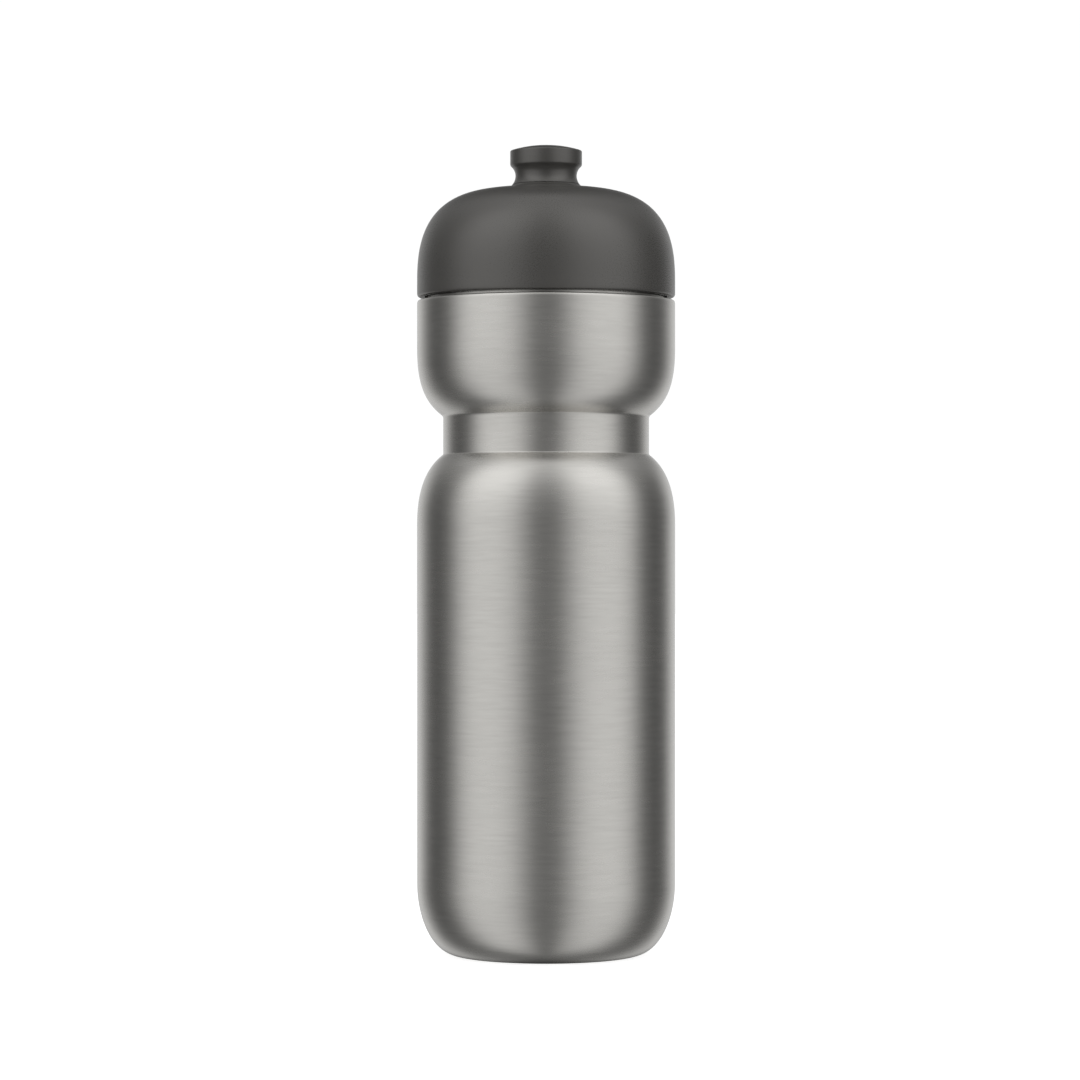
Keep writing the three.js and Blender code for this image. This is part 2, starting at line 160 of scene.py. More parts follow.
def offset(points, distance):
    """Moves an open line sideways, to the left of its direction."""
    out = []
    last = len(points) - 1
    for i, (x, y) in enumerate(points):
        before, after = points[max(i - 1, 0)], points[min(i + 1, last)]
        leaving = Vector((after[0] - x, after[1] - y))
        arriving = Vector((x - before[0], y - before[1])) if i > 0 else leaving.copy()
        if i == last:
            leaving = arriving.copy()
        arriving.normalize()
        leaving.normalize()
        normal = Vector((-(arriving.y + leaving.y), arriving.x + leaving.x))
        k = distance / (normal.x * -arriving.y + normal.y * arriving.x)
        out.append((x + normal.x * k, y + normal.y * k))
    return out


# ------------------------------------------------------------------ meshes
def shade(mesh):
    """Smooth faces, with sharp edges above 38 degrees."""
    mesh.polygons.foreach_set("use_smooth", [True] * len(mesh.polygons))
    mesh.set_sharp_from_angle(angle=math.radians(38))


def mesh_object(name, bm):
    bmesh.ops.recalc_face_normals(bm, faces=bm.faces)
    if bm.calc_volume(signed=True) < 0:
        bmesh.ops.reverse_faces(bm, faces=bm.faces)
    mesh = bpy.data.meshes.new(name)
    bm.to_mesh(mesh)
    bm.free()
    shade(mesh)
    ob = bpy.data.objects.new(name, mesh)
    bpy.context.scene.collection.objects.link(ob)
    return ob


def turned(name, outline, segments, shape=lambda angle, r, z: r, axis_x=0.0):
    """Turned body from an outline that closes on itself, or starts and ends on the axis.

    The UV map holds turns round the axis and millimetres along the outline.
    shape(angle, r, z) gives a changed radius.
    """
    bm = bmesh.new()
    uv = bm.loops.layers.uv.new("round")
    lengths = [0.0]
    for p, q in zip(outline, outline[1:] + outline[:1]):
        lengths.append(lengths[-1] + math.dist(p, q))
    rings = []
    for r, z in outline:
        if r < 1e-6:
            rings.append([bm.verts.new((axis_x * MM, 0, z * MM))] * segments)
            continue
        ring = []
        for k in range(segments):
            angle = TAU * k / segments
            q = shape(angle, r, z)
            place = (axis_x + q * math.cos(angle), q * math.sin(angle), z)
            ring.append(bm.verts.new([c * MM for c in place]))
        rings.append(ring)
    ends_on_axis = outline[0][0] < 1e-6 and outline[-1][0] < 1e-6
    for i in range(len(rings) - 1 if ends_on_axis else len(rings)):
        this, following = rings[i], rings[(i + 1) % len(rings)]
        for k in range(segments):
            m = (k + 1) % segments
            corners = {}    # a point on the axis comes twice and is kept once
            for vert, turn, at in ((this[k], k, i), (this[m], k + 1, i),
                                   (following[m], k + 1, i + 1), (following[k], k, i + 1)):
                corners.setdefault(vert, (turn / segments, lengths[at]))
            if len(corners) > 2:
                face = bm.faces.new(list(corners))
                for loop in face.loops:
                    loop[uv].uv = corners[loop.vert]
    return mesh_object(name, bm)


def boolean(target, other, operation):
    """Applies a boolean to target and removes the other object."""
    modifier = target.modifiers.new("b", "BOOLEAN")
    modifier.operation, modifier.solver, modifier.object = operation, "EXACT", other
    bpy.context.view_layer.update()
    depsgraph = bpy.context.evaluated_depsgraph_get()
    mesh = bpy.data.meshes.new_from_object(target.evaluated_get(depsgraph))
    target.modifiers.clear()
    old = target.data
    target.data = mesh
    bpy.data.meshes.remove(old)
    data = other.data
    bpy.data.objects.remove(other)
    bpy.data.meshes.remove(data)


def tidy(ob):
    """Merges doubled points left by booleans and shades again."""
    bm = bmesh.new()
    bm.from_mesh(ob.data)
    bmesh.ops.remove_doubles(bm, verts=bm.verts, dist=1e-6)
    bm.to_mesh(ob.data)
    bm.free()
    shade(ob.data)


def thread(radius, z_start, height, phase=0.0, turns=THREAD_TURNS):
    """Shape of a multi-start screw rib on the wall at radius. A negative height points inward."""
    def ease(t):
        return t * t * (3 - 2 * t)

    def shape(angle, r, z):
        if abs(r - radius) > THREAD_BAND:
            return r
        rib = 0.0
        for start in range(THREAD_STARTS):
            for lap in range(3):
                t = (angle - phase - start * TAU / THREAD_STARTS + TAU * lap) / TAU
                if not 0 <= t <= turns:
                    continue
                fade = min(1.0, t / RIB_FADE, (turns - t) / RIB_FADE)
                away = abs(z - z_start - THREAD_LEAD * t)
                flank = min(1.0, max(0.0, (RIB_FOOT - away) / (RIB_FOOT - RIB_CREST)))
                rib = max(rib, ease(flank) * ease(fade))
        return r + height * rib
    return shape


# ------------------------------------------------------------------ shader nodes
class Nodes:
    """Short way to write a node tree."""

    def __init__(self, tree):
        self.tree = tree
        tree.nodes.clear()

    def new(self, kind, inputs=None, **props):
        node = self.tree.nodes.new(kind)
        for key, value in props.items():
            setattr(node, key, value)
        for key, value in (inputs or {}).items():
            if isinstance(value, bpy.types.NodeSocket):
                self.tree.links.new(value, node.inputs[key])
            elif value is not None:
                node.inputs[key].default_value = value
        return node

    def math(self, operation, a, b=None, clamp=False):
        return self.new("ShaderNodeMath", {0: a, 1: b}, operation=operation,
                        use_clamp=clamp).outputs[0]

    def add(self, a, b):
        return self.math("ADD", a, b)

    def multiply(self, a, b):
        return self.math("MULTIPLY", a, b)

    def vector(self, x, y, z):
        return self.new("ShaderNodeCombineXYZ", {0: x, 1: y, 2: z}).outputs[0]

    def split(self, vector):
        return self.new("ShaderNodeSeparateXYZ", {0: vector}).outputs

    def coordinates(self):
        return self.new("ShaderNodeTexCoord").outputs

    def noise(self, vector, scale, detail=3.0, rough=0.5, distort=0.0):
        inputs = {"Vector": vector, "Scale": scale, "Detail": detail, "Roughness": rough,
                  "Distortion": distort}
        return self.new("ShaderNodeTexNoise", inputs, noise_dimensions="3D").outputs["Fac"]

    def ramp(self, fac, stops):
        """stops are (position, grey or colour)."""
        node = self.new("ShaderNodeValToRGB", {0: fac})
        elements = node.color_ramp.elements
        while len(elements) < len(stops):
            elements.new(0.5)
        for element, (position, value) in zip(elements, stops):
            element.position = position
            element.color = (*(value if isinstance(value, tuple) else (value,) * 3), 1.0)
        return node.outputs[0]

    def two_tone(self, fac, low, high):
        return self.ramp(fac, [(0.3, low), (0.7, high)])

    def remap(self, fac, to, source=(0.3, 0.7)):
        inputs = {0: fac, 1: source[0], 2: source[1], 3: to[0], 4: to[1]}
        return self.new("ShaderNodeMapRange", inputs).outputs[0]

    def bump(self, height, distance, normal=None):
        inputs = {"Strength": 1.0, "Distance": distance, "Height": height, "Normal": normal}
        return self.new("ShaderNodeBump", inputs).outputs[0]

    def output(self, shader, kind="Material"):
        self.new(f"ShaderNodeOutput{kind}", {"Surface": shader.outputs[0]})

    def surface(self, **inputs):
        named = {PRINCIPLED[key]: value for key, value in inputs.items()}
        self.output(self.new("ShaderNodeBsdfPrincipled", named))


PRINCIPLED = {
    "color": "Base Color", "metal": "Metallic", "rough": "Roughness", "normal": "Normal",
    "specular": "Specular IOR Level", "tint": "Specular Tint", "ior": "IOR",
    "anisotropy": "Anisotropic", "rotation": "Anisotropic Rotation", "tangent": "Tangent",
    "coat": "Coat Weight", "coat_rough": "Coat Roughness", "scatter": "Subsurface Weight",
    "scatter_radius": "Subsurface Radius", "scatter_scale": "Subsurface Scale"}
MATERIALS = {}


def material(name):
    """New material, kept in MATERIALS, and the writer of its node tree."""
    MATERIALS[name] = bpy.data.materials.new(name)
    MATERIALS[name].use_nodes = True
    return Nodes(MATERIALS[name].node_tree)


def scaled(color, factor):
    return tuple(min(1.0, c * factor) for c in color)


def brushed(name, color, rough, streak, anisotropy=0.75, around=3.0):
    """Steel brushed round the axis: long fine lines change brightness, roughness and slope.

    streak is the strength of the lines, around how often they break up round the axis.
    """
    tree = material(name)
    coordinates = tree.coordinates()
    position = coordinates["Object"]
    x, y, _ = tree.split(position)
    direction = tree.new("ShaderNodeVectorMath", {0: tree.vector(x, y, 0.0)}, operation="NORMALIZE")
    cosine, sine, _ = tree.split(direction.outputs[0])
    along = tree.split(coordinates["UV"])[1]

    def lines(around, per_mm, detail):
        stretched = tree.vector(tree.multiply(cosine, around), tree.multiply(sine, around),
                                tree.multiply(along, per_mm))
        return tree.noise(stretched, scale=1.0, detail=detail)

    hair = lines(around, per_mm=1.4, detail=1.4)
    line = lines(around * 1.6, per_mm=0.8, detail=1.0)
    wide = lines(1.1, per_mm=0.055, detail=2.0)
    handling = tree.noise(position, scale=38.0, rough=0.55)
    tone = tree.add(tree.multiply(hair, 0.5), tree.multiply(line, 0.5))
    tree.surface(
        color=tree.ramp(tone, [(0.26, scaled(color, 1 - 0.15 * streak)), (0.5, color),
                               (0.74, scaled(color, 1 + 0.13 * streak))]),
        metal=1.0,
        rough=tree.add(
            tree.remap(tone, to=(rough - 0.035 * streak, rough + 0.04 * streak)),
            tree.add(tree.remap(wide, to=(-0.012, 0.012)),
                     tree.remap(handling, to=(-0.006, 0.022), source=(0.4, 0.72)))),
        normal=tree.bump(line, distance=0.000006 * streak,
                         normal=tree.bump(hair, distance=0.000008 * streak)),
        anisotropy=anisotropy, rotation=0.25,
        tangent=tree.new("ShaderNodeTangent", direction_type="RADIAL", axis="Z").outputs[0])


def moulded(name, color, rough, grain, depth, specular=0.5, ior=1.5):
    """Moulded plastic: a grain of that size in mm and depth in m, with faint flow marks."""
    tree = material(name)
    position = tree.coordinates()["Object"]
    fine = tree.noise(position, scale=1000 / grain, detail=2.0, rough=0.6)
    middle = tree.noise(position, scale=420.0, rough=0.55)
    broad = tree.noise(position, scale=24.0, distort=0.6)
    tone = tree.add(tree.multiply(fine, 0.45),
                    tree.add(tree.multiply(middle, 0.2), tree.multiply(broad, 0.35)))
    tree.surface(
        color=tree.ramp(tone, [(0.3, scaled(color, 0.9)), (0.5, color), (0.7, scaled(color, 1.1))]),
        rough=tree.add(tree.remap(fine, to=(rough - 0.04, rough + 0.05)),
                       tree.remap(broad, to=(-0.03, 0.03), source=(0.38, 0.68))),
        normal=tree.bump(middle, distance=depth * 1.2, normal=tree.bump(fine, distance=depth)),
        specular=specular, ior=ior, tint=(1.0, 0.985, 0.955, 1.0))


def silicone(name, color, rough):
    """Milky silicone with specks of light dust."""
    tree = material(name)
    position = tree.coordinates()["Object"]
    fine = tree.noise(position, scale=2600.0, detail=2.0)
    dust = tree.noise(position, scale=900.0, detail=4.0, rough=0.7)
    cloud = tree.noise(position, scale=90.0)
    dusty = tree.new("ShaderNodeMix", {
        0: tree.remap(dust, to=(0.0, 0.25), source=(0.62, 0.72)),
        6: tree.two_tone(cloud, scaled(color, 0.93), scaled(color, 1.05)),
        7: (0.85, 0.85, 0.84, 1)}, data_type="RGBA")
    tree.surface(
        color=dusty.outputs[2], rough=tree.remap(cloud, to=(rough - 0.06, rough + 0.06)),
        normal=tree.bump(fine, distance=0.000006),
        scatter=0.35, scatter_radius=(1.0, 0.95, 0.9), scatter_scale=0.0012)


# ------------------------------------------------------------------ materials
brushed("body_steel", (0.662, 0.650, 0.621), rough=0.26, streak=0.33)
brushed("flask_steel", (0.60, 0.597, 0.575), rough=0.33, streak=0.8)
brushed("cover_steel", (0.62, 0.615, 0.585), rough=0.32, streak=1.1, around=2.2)
brushed("base_steel", (0.55, 0.548, 0.53), rough=0.40, streak=0.6, anisotropy=0.4)

CHARCOAL = (0.0665, 0.0642, 0.0600)
moulded("lid_plastic", CHARCOAL, rough=0.30, grain=0.22, depth=0.000005, specular=0.90, ior=1.6)
moulded("soft_rubber", CHARCOAL, rough=0.31, grain=0.16, depth=0.000003, specular=0.90, ior=1.6)
moulded("liner_plastic", (0.028, 0.0275, 0.027), rough=0.42, grain=0.35, depth=0.000006)
moulded("stem_plastic", (0.030, 0.0295, 0.029), rough=0.36, grain=0.4, depth=0.000003)
silicone("clear_silicone", (0.55, 0.56, 0.55), rough=0.5)
silicone("tube_silicone", (0.50, 0.51, 0.50), rough=0.42)
moulded("black_rubber", (0.018, 0.018, 0.018), rough=0.42, grain=0.2, depth=0.000003)

# Rolled steel: streaks along X
tree = material("clip_steel")
position = tree.coordinates()["Object"]
stretched = tree.new("ShaderNodeVectorMath", {0: position, 1: (60.0, 2600.0, 2600.0)},
                     operation="MULTIPLY").outputs[0]
roll = tree.noise(stretched, scale=1.0)
tree.surface(color=tree.two_tone(roll, (0.40, 0.40, 0.39), (0.60, 0.60, 0.58)), metal=1.0,
             rough=tree.remap(roll, to=(0.28, 0.45)), normal=tree.bump(roll, distance=0.000006))

# Creased foil
tree = material("foil")
position = tree.coordinates()["Object"]
crease = tree.new("ShaderNodeTexVoronoi", {"Vector": position, "Scale": 150.0, "Randomness": 1.0},
                  feature="DISTANCE_TO_EDGE").outputs["Distance"]
CREASE_WIDTH = 0.12     # distance from a cell's edge where the crease levels out
wave = tree.noise(position, scale=110.0, detail=4.0, rough=0.6, distort=0.8)
tree.surface(color=tree.two_tone(wave, (0.66, 0.66, 0.67), (0.84, 0.84, 0.85)), metal=1.0,
             rough=tree.remap(wave, to=(0.12, 0.3)),
             normal=tree.bump(tree.math("MINIMUM", crease, CREASE_WIDTH), distance=0.00012,
                              normal=tree.bump(wave, distance=0.00025)))

# Gritty, lumpy pellet
tree = material("getter_pellet")
position = tree.coordinates()["Object"]
grit = tree.noise(position, scale=3200.0, detail=4.0, rough=0.7)
lump = tree.noise(position, scale=500.0, rough=0.6)
tree.surface(color=tree.two_tone(grit, (0.16, 0.155, 0.15), (0.36, 0.35, 0.34)), metal=0.6,
             rough=tree.remap(lump, to=(0.6, 0.85)),
             normal=tree.bump(grit, distance=0.00003, normal=tree.bump(lump, distance=0.00005)))

# Dark green glass
tree = material("glass_bead")
swirl = tree.noise(tree.coordinates()["Object"], scale=700.0, distort=1.5)
tree.surface(color=tree.two_tone(swirl, (0.05, 0.075, 0.05), (0.12, 0.15, 0.10)),
             rough=tree.remap(swirl, to=(0.08, 0.2)), normal=tree.bump(swirl, distance=0.00004),
             coat=0.6, coat_rough=0.06)


def assign(ob, slot, body, node):
    """Gives the object its material and the body it moves with, in place of a CAD piece."""
    ob.data.materials.clear()
    ob.data.materials.append(MATERIALS[slot])
    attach(ob, body)
    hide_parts(node)


def part(name, outline, segments, slot, body, node, **options):
    assign(turned(name, outline, segments, **options), slot, body, node)


# ------------------------------------------------------------------ outer steel body
def shell_line(steps, rim):
    """Outside line from the hem under the foot up to the neck's edge. rim is the ledge's edge."""
    return [
        (21.4, 2.6, 0.15), (21.4, 0.0, 0.5), (24.88, 0.0),
        *cubic((24.88, 0), (33.04, 0), (R_BODY, 11.23), (R_BODY, 20.41), steps),
        *[(R_BODY, z) for z in (40, 60, 80, 100)],
        (R_BODY, 123.38),
        *cubic((R_BODY, 123.38), (R_BODY, 135.42), (33.07, 140.6), (R_GROOVE, Z_GROOVE_LOW),
               steps)[:-1],
        (R_GROOVE, Z_GROOVE_LOW, 0.3), (R_GROOVE, 148.8), (R_GROOVE, Z_GROOVE_HIGH, 0.6),
        *cubic((R_GROOVE, Z_GROOVE_HIGH), (34.69, 158.11), (R_BODY, 163.2), (R_BODY, 173.6), steps),
        (R_BODY, 180.0), *rim,
        (35.2, Z_LEDGE), (R_LANDING, Z_LEDGE, 0.4), (R_LANDING, Z_LANDING, 0.45),
        (31.0, Z_LANDING), (R_NECK, Z_LANDING, 0.9), (R_NECK, 190.2), (R_NECK, Z_NECK)]


# The rim takes more off the side (1.05) than off the top (0.55)
rim = [(R_BODY - 0.55 * (i / 10) ** 2, Z_LEDGE - 1.05 * (1 - i / 10) ** 2) for i in range(11)]
outer = shell_line(36, rim)
inner = offset([p[:2] for p in shell_line(12, [(R_BODY, Z_LEDGE)])], SHELL_WALL)
outline = soften(outer[:-1] + [(R_NECK, Z_NECK, 0.18), (inner[-1][0], Z_NECK, 0.18)]
                 + inner[::-1][1:-1] + [(inner[0][0], 2.6, 0.15)])
part("steel_body", dense(outline, 0.22, 189.7, Z_NECK - 0.1), 192,
     "body_steel", "bottle", "outer_shell", shape=thread(R_NECK, z_start=191.0, height=1.2))

# ------------------------------------------------------------------ foot
# Plate with a raised collar round its centre hole
part("base_plate", soften([
    (1.6, 2.7, 0.1), (5.0, 2.7, 0.3), (6.4, 2.0, 0.3), (R_FOOT - 0.6, 2.0, 0.15),
    (R_FOOT - 0.6, 1.5, 0.1), (R_FOOT, 1.5, 0.1), (R_FOOT, 2.6, 0.3), (6.6, 2.6, 0.4),
    (5.2, 3.3, 0.4), (1.6, 3.3, 0.1)]), 128, "base_steel", "bottle", "outer_base")

# Glass bead in the hole
part("pump_out_bead", [(0, 1.9)] + arc(0, 2.95, 1.25, -75, 75, 16) + [(0, 4.0)], 48,
     "glass_bead", "bottle", "pump_out_plug")

# Cover disc with two ring grooves in its underside
grooves = []
for r in (9.0, 17.2):
    grooves += [(r, 0.35, 0.25), (r + 0.5, 0.65, 0.25), (r + 1.4, 0.65, 0.25), (r + 1.9, 0.35, 0.25)]
part("base_disc", soften_solid([
    (0, 0.35), *grooves, (R_FOOT - 0.1, 0.35, 0.22), (R_FOOT - 0.1, 1.15, 0.22), (0, 1.15)]), 160,
    "cover_steel", "bottle", "base_cover")

# ------------------------------------------------------------------ inner flask
# Wall, with a lip that laps over the shell's neck
wall = [(R_FLASK, 16.3), (R_FLASK, 121.5),
        *cubic((R_FLASK, 121.5), (R_FLASK, 132.0), (R_MOUTH, 132.5), (R_MOUTH, 140.0), 28),
        (R_MOUTH, Z_NECK + 0.1)]
lip = [(R_MOUTH, Z_NECK + 0.1, 0.1), (R_MOUTH + 0.3, Z_NECK + 0.35, 0.1),
       (R_NECK - 0.05, Z_NECK + 0.35, 0.15), (R_NECK, 201.7, 0.25),
       (R_MOUTH - FLASK_WALL, 201.7, 0.3)]
part("inner_flask_wall", soften(wall[:-1] + lip + offset(wall, FLASK_WALL)[::-1][1:]), 160,
     "flask_steel", "bottle", "inner_flask")

# Base
under = [(0, 6.0), (11.0, 6.0), (22.0, 6.0),
         *cubic((22.0, 6.0), (29.0, 6.0), (R_FLASK, 9.5), (R_FLASK, 16.0), 20)]
upper = [(0, 6.0 + FLASK_WALL)] + offset(under, FLASK_WALL)[1:]
part("inner_flask_base", under + upper[::-1], 160, "flask_steel", "bottle", "inner_base")


# Foil sleeve round the wall
def crinkle(angle, r, z):
    return r + 0.05 * math.sin(9 * angle + z * 0.31) * math.sin(z * 0.53 + 3 * angle)


part("foil_wrap", dense([(34.38, 18.0), (34.52, 18.0), (34.52, 120.0), (34.38, 120.0)], 1.6), 144,
     "foil", "bottle", "heat_foil", shape=crinkle)

# ------------------------------------------------------------------ lid
# Domed shell, which sweeps up into a collar round the spout
dome = (R_LID, 192.53), (R_LID, 201.4), (36.74, Z_DOME), (R_WAIST + ARC_LOW, Z_DOME)
collar = arc(R_WAIST + ARC_LOW, Z_WAIST, ARC_LOW, 270, 220.83, 14)
part("lid_shell", soften([
    (34.8, Z_LID, 0.35), (R_LID, Z_LID, 1.05), (R_LID, 190.6), dome[0], *cubic(*dome, 48),
    *collar[1:-1], (collar[-1][0], Z_COLLAR, 0.08), (8.8, Z_COLLAR, 0.2), (8.8, 217.3, 0.3),
    *offset([dome[0]] + cubic(*dome, 24), LID_WALL)[::-1]]), 192,
    "lid_plastic", "lid", "lid_dome")

# Threaded liner with a bored nozzle at the vent. Its thread is turned on by 1 mm of lead.
liner_line = soften([
    (6.6, 203.8, 0.2), (24.5, 203.8, 0.4), (24.5, 200.5, 0.5), (26.1, 200.5, 0.5),
    (26.1, 203.8, 0.3), (R_LINER, 203.8, 0.3), (R_LINER, 189.3, 0.4), (34.4, 189.3, 0.25),
    (34.4, 190.7, 0.3), (32.8, 190.7, 0.3), (32.8, 206.0, 0.8), (6.6, 206.0, 0.3)])
liner_thread = thread(R_LINER, z_start=190.0, height=-1.15, phase=TAU / THREAD_LEAD,
                      turns=THREAD_TURNS - 0.05)
liner = turned("lid_inner", dense(liner_line, 0.25, 189.5, 203.6), 160, liner_thread)
nozzle = turned("nozzle", soften([(0, 204.5), (0, 194.3), (2.5, 194.3, 0.3), (2.5, 204.5)]), 40,
                axis_x=VENT_X)
bore = turned("bore", [(0, 190.0), (1.8, 190.0), (1.8, 212.0), (0, 212.0)], 40, axis_x=VENT_X)
boolean(liner, nozzle, "UNION")
boolean(liner, bore, "DIFFERENCE")
tidy(liner)
assign(liner, "liner_plastic", "lid", "lid_liner")

# Seal ring, with a small ridge between two corners of its underside
part("main_seal", soften([
    (26.5, 202.0, 0.3), (27.6, 202.0, 0.25), (28.0, 202.35, 0.2), (28.4, 202.0, 0.25),
    (30.2, 202.0, 0.3), (30.2, 203.5, 0.25), (26.5, 203.5, 0.25)]), 160,
    "clear_silicone", "lid_lifter", "lid_seal")

# Spout stem: a tube with a ring groove, and a plug held in it by three webs
stem = turned("stem", soften([
    (3.2, 202.4, 0.2), (6.2, 202.4, 0.2), (7.1, 202.9, 0.15), (7.1, 203.4, 0.15),
    (6.2, 203.4, 0.1), (6.2, 207.6, 0.15), (10.2, 207.6, 0.2), (10.2, 209.2, 0.25),
    (5.2, 209.2, 0.4), (5.2, 215.9, 0.1), (4.1, 215.9, 0.1), (4.1, 217.9, 0.1),
    (5.2, 217.9, 0.1), (5.2, 221.0, 0.3), (3.2, 221.0, 0.15)]), 96)
plug = turned("plug", soften_solid([
    (0.0, 213.0), (1.9, 214.2, 0.4), (1.9, 225.6, 0.5), (3.25, 228.0, 0.4), (3.25, 231.5, 0.3),
    (2.6, 231.78, 0.3), (0.0, Z_TOP)]), 96)
boolean(stem, plug, "UNION")
WEB_SIZE, WEB_Z = (4.4, 1.2, 8.0), 216.2
for i in range(3):
    bm = bmesh.new()
    bmesh.ops.create_cube(bm, size=1.0)
    bmesh.ops.scale(bm, vec=[c * MM for c in WEB_SIZE], verts=bm.verts)
    bmesh.ops.translate(bm, vec=(WEB_SIZE[0] / 2 * MM, 0, WEB_Z * MM), verts=bm.verts)
    turn = Matrix.Rotation(math.radians(90 + 120 * i), 3, "Z")
    bmesh.ops.rotate(bm, cent=(0, 0, 0), matrix=turn, verts=bm.verts)
    boolean(stem, mesh_object("web", bm), "UNION")
tidy(stem)
stem.name = "spout_stem"
assign(stem, "stem_plastic", "lid", "valve_stem")

# Washer under the stem's flange, and the ring in the stem's groove
part("stem_washer", soften([
    (6.9, 206.3, 0.25), (9.8, 206.3, 0.25), (9.8, 207.3, 0.25), (6.9, 207.3, 0.25)]), 96,
    "clear_silicone", "lid", "stem_gasket")
part("stem_ring", arc(5.07, 216.9, 0.6, 0, 345, 23), 96, "black_rubber", "lid", "stem_o_ring")

# Vent valve and the long tube below it
part("air_valve", soften_solid([
    (0, 199.6), (0.5, 199.6, 0.1), (1.2, 202.6, 0.3), (1.45, 203.4, 0.3), (1.45, 206.3, 0.15),
    (3.8, 206.3, 0.25), (3.8, 207.3, 0.3), (1.0, 207.3, 0.2), (1.0, 204.0, 0.2), (0, 203.2)]), 64,
    "clear_silicone", "lid", "vent_valve", axis_x=VENT_X)
part("air_tube", dense(soften([
    (2.8, 15.0, 0.2), (3.6, 15.0, 0.2), (3.6, 202.8, 0.2), (2.8, 202.8, 0.2)]), 6.0), 64,
    "tube_silicone", "lid", "vent_tube", axis_x=VENT_X)

# ------------------------------------------------------------------ spout
# Sleeve with a foot flange and a small bead near the top
part("spout_sleeve", soften([
    (6.0, 209.5, 0.2), (9.6, 209.5, 0.35), (9.6, 211.3, 0.4), (8.4, 211.5, 0.3),
    (8.4, 220.6, 0.25), (7.0, 220.6, 0.2), (7.0, 226.1, 0.2), (7.5, 226.5, 0.2),
    (7.5, 227.1, 0.2), (7.0, 227.5, 0.2), (7.0, 228.6, 0.25), (6.0, 228.6, 0.25)]), 128,
    "stem_plastic", "spout", "spout_core")


# Soft cover with a waisted side and a crowned top
def crown(r):
    return r, Z_TOP - (R_CROWN - math.sqrt(R_CROWN**2 - r * r))


waist = (arc(R_WAIST + ARC_LOW, Z_WAIST, ARC_LOW, 218.92, 180, 12)
         + arc(R_WAIST + ARC_UP, Z_WAIST, ARC_UP, 180, 125.13, 16)[1:])
part("spout_cover", soften([
    (7.3, 220.8, 0.2), (*waist[0], 0.08), *waist[1:-1], (R_HEAD, waist[-1][1], 0.45),
    (*crown(R_HEAD), 0.35), crown(8.8), crown(7.2), crown(5.6), (*crown(3.6), 0.35),
    (3.6, 229.3, 0.3), (4.6, 228.95, 0.2), (7.3, 228.95, 0.2), (7.3, 227.9, 0.15),
    (7.85, 227.5, 0.15), (7.85, 226.1, 0.15), (7.3, 225.7, 0.15)]), 128,
    "soft_rubber", "spout", "mouthpiece")

# ------------------------------------------------------------------ CAD pieces that stay
for node, name in (("getter", "getter_pellet"), ("getter_clip", "clip_steel")):
    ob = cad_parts[node]
    ob.data.materials.clear()
    ob.data.materials.append(MATERIALS[name])
    bevel = ob.modifiers.new("edge", "BEVEL")
    bevel.width, bevel.segments = 0.08 * MM, 2
    bevel.limit_method, bevel.angle_limit = "ANGLE", math.radians(40)

# ------------------------------------------------------------------ floor
# White and faintly glowing, seen by the camera but left out of reflections and bounced light
tree = material("floor")
tooth = tree.noise(tree.new("ShaderNodeNewGeometry").outputs["Position"], scale=160.0, detail=4.0,
                   rough=0.6)
paint = tree.new("ShaderNodeBsdfDiffuse", {"Color": tree.two_tone(tooth, 0.80, 0.84)})
glow = tree.new("ShaderNodeEmission", {"Color": (1, 1, 1, 1), "Strength": 0.78})
tree.output(tree.new("ShaderNodeAddShader", {0: paint.outputs[0], 1: glow.outputs[0]}))
bm = bmesh.new()
bmesh.ops.create_grid(bm, x_segments=4, y_segments=4, size=6.0)
floor = mesh_object("floor", bm)
floor.location.z = -0.2 * MM
floor.data.materials.append(MATERIALS["floor"])
floor.visible_glossy = floor.visible_diffuse = floor.visible_shadow = False

# ------------------------------------------------------------------ studio light
# Entries are (degrees, brightness). Across runs from the viewer's side, -Y (0), round to the far
# side (180), the same on the left and the right. Height runs from straight down (-90) to
# straight up (90).
BOX_ACROSS = [      # tall soft boxes left and right of the camera
    (0, .08), (10, .155), (20, .455), (30, .79), (40, .98), (50, 1.06), (62, 1.06), (70, .99),
    (80, .75), (90, .35), (100, .09), (112, .0), (130, .0)]
BOX_HEIGHT = [
    (-90, .05), (-75, .27), (-65, .42), (-55, .49), (-40, .53), (-15, .58), (0, .615), (15, .68),
    (28, .76), (42, .72), (55, .55), (66, .29), (80, .05)]
RIM_ACROSS = [      # rim panels behind
    (112, .0), (122, .04), (130, .18), (140, .54), (150, .90), (162, 1.05), (180, 1.18)]
RIM_HEIGHT = [
    (-66, .0), (-50, .14), (-36, .40), (-22, .54), (-10, .56), (0, .53), (10, .53), (17, .45),
    (24, .26), (33, .07), (43, .0)]
WING_ACROSS = [     # a wing beside each soft box
    (56, .0), (68, .08), (80, .10), (88, .09), (97, .03), (104, .0)]
WING_HEIGHT = [(0, .0), (6, .40), (14, .85), (24, 1.0), (38, .65), (52, .0)]
UP_ACROSS = [       # dark cloth behind, upper part
    (0, .0), (126, .0), (142, .16), (154, .40), (166, .78), (175, .97), (180, 1.0)]
UP_HEIGHT = [
    (3, .0), (8, .12), (15, .50), (23, .84), (46, .90), (57, .80), (65, .45), (74, .0)]
DOWN_ACROSS = [     # dark cloth behind, lower part
    (0, .0), (156, .0), (165, .22), (173, .88), (180, 1.0)]
DOWN_HEIGHT = [(-76, .0), (-62, .60), (-48, .95), (-20, 1.0), (-12, .66), (-6, .18), (-2, .0)]
FILL_HEIGHT = [     # fill and overhead panel, the same all round
    (-90, .17), (-78, .16), (-66, .15), (-50, .14), (-35, .125), (0, .10), (18, .15), (35, .30),
    (47, .45), (57, .55), (67, .63), (75, .70), (82, .68), (90, .58)]
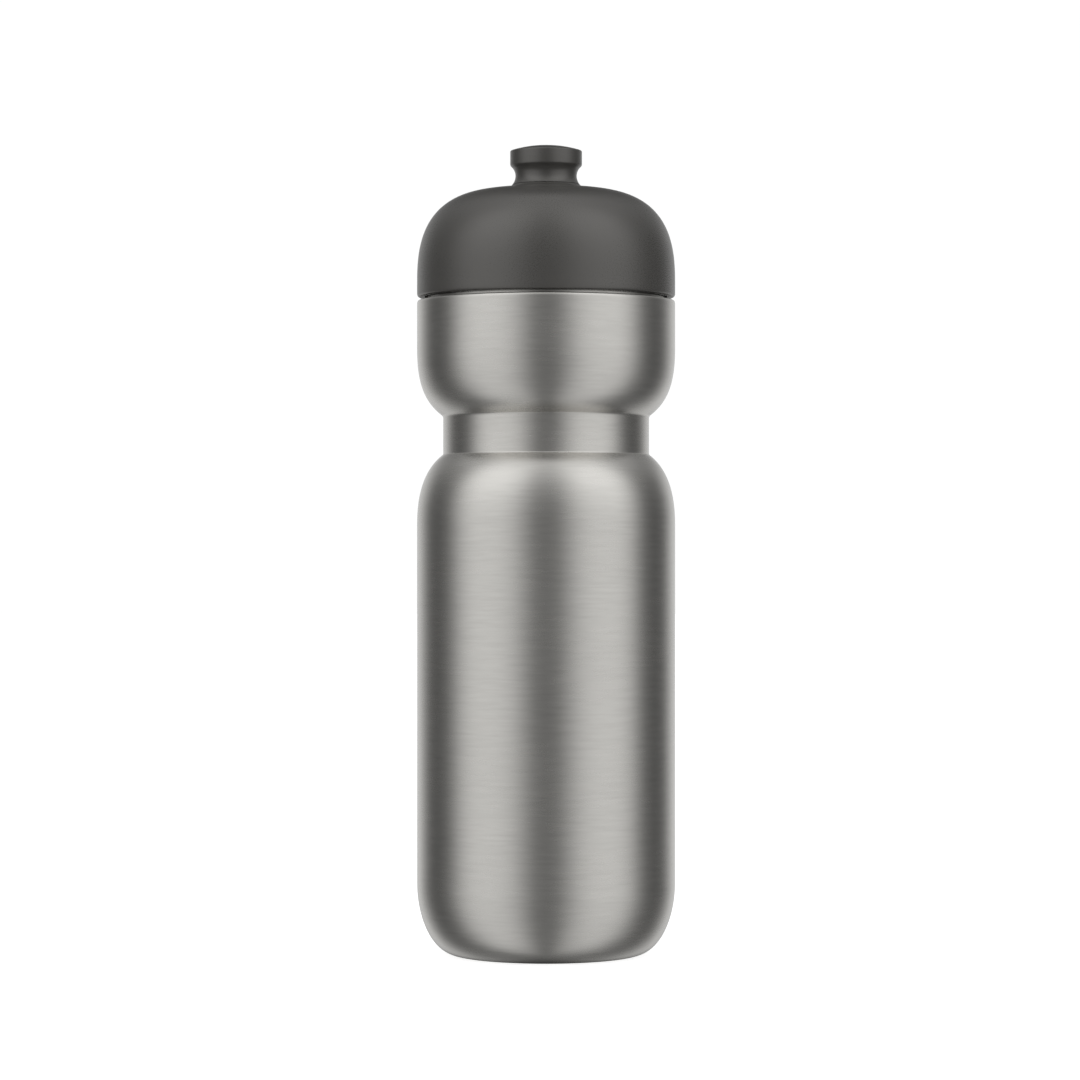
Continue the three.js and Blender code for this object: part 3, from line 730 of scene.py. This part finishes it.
PEAK = 1.25         # brightness that a ramp stores as 1

world = bpy.data.worlds.new("studio")
bpy.context.scene.world = world
world.use_nodes = True
tree = Nodes(world.node_tree)
x, y, z = tree.split(tree.coordinates()["Generated"])
side = tree.math("DIVIDE", tree.math("ARCTAN2", tree.math("ABSOLUTE", x), tree.multiply(y, -1.0)),
                 math.pi)
tall = tree.add(tree.math("DIVIDE", tree.math("ARCSINE", z), math.pi), 0.5)


def by_height(stops):
    return tree.ramp(tall, [((angle + 90) / 180, value / PEAK) for angle, value in stops])


def panel(across, height):
    across_ramp = tree.ramp(side, [(angle / 180, value / PEAK) for angle, value in across])
    return tree.multiply(across_ramp, tree.multiply(by_height(height), PEAK**2))


boxes = panel(BOX_ACROSS, BOX_HEIGHT)
rims = panel(RIM_ACROSS, RIM_HEIGHT)
wings = panel(WING_ACROSS, WING_HEIGHT)
cloth = tree.add(panel(UP_ACROSS, UP_HEIGHT), panel(DOWN_ACROSS, DOWN_HEIGHT))
fill = tree.multiply(by_height(FILL_HEIGHT), PEAK)
light = tree.multiply(tree.add(tree.add(boxes, rims), tree.add(wings, fill)),
                      tree.math("SUBTRACT", 1.0, cloth, clamp=True))
studio = tree.new("ShaderNodeBackground", {"Color": light, "Strength": 1.0})
white = tree.new("ShaderNodeBackground", {"Color": (1, 1, 1, 1), "Strength": 1.02})
# The camera itself sees plain white
tree.output(tree.new("ShaderNodeMixShader", {
    0: tree.new("ShaderNodeLightPath").outputs["Is Camera Ray"],
    1: studio.outputs[0], 2: white.outputs[0]}), kind="World")
world.cycles.sampling_method = "MANUAL"
world.cycles.sample_map_resolution = 512

# ------------------------------------------------------------------ camera
CAMERA_DISTANCE, CAMERA_HEIGHT = 1061.0, 114.8
VIEW_WIDTH = 309.9      # width in view at the bottle's axis

camera = bpy.data.cameras.new("camera")
camera.sensor_width = 36.0
camera.lens = 36.0 * CAMERA_DISTANCE / VIEW_WIDTH
camera.shift_x, camera.shift_y = -0.005648148, 0.012962963
camera.clip_start, camera.clip_end = 0.05, 20.0
camera_object = bpy.data.objects.new("camera", camera)
bpy.context.scene.collection.objects.link(camera_object)
camera_object.location = (0.0, -CAMERA_DISTANCE * MM, CAMERA_HEIGHT * MM)
camera_object.rotation_euler = (math.radians(90), 0, 0)
bpy.context.scene.camera = camera_object

view = bpy.context.scene.view_settings
view.view_transform, view.look, view.exposure, view.gamma = "Standard", "None", 0.0, 1.0
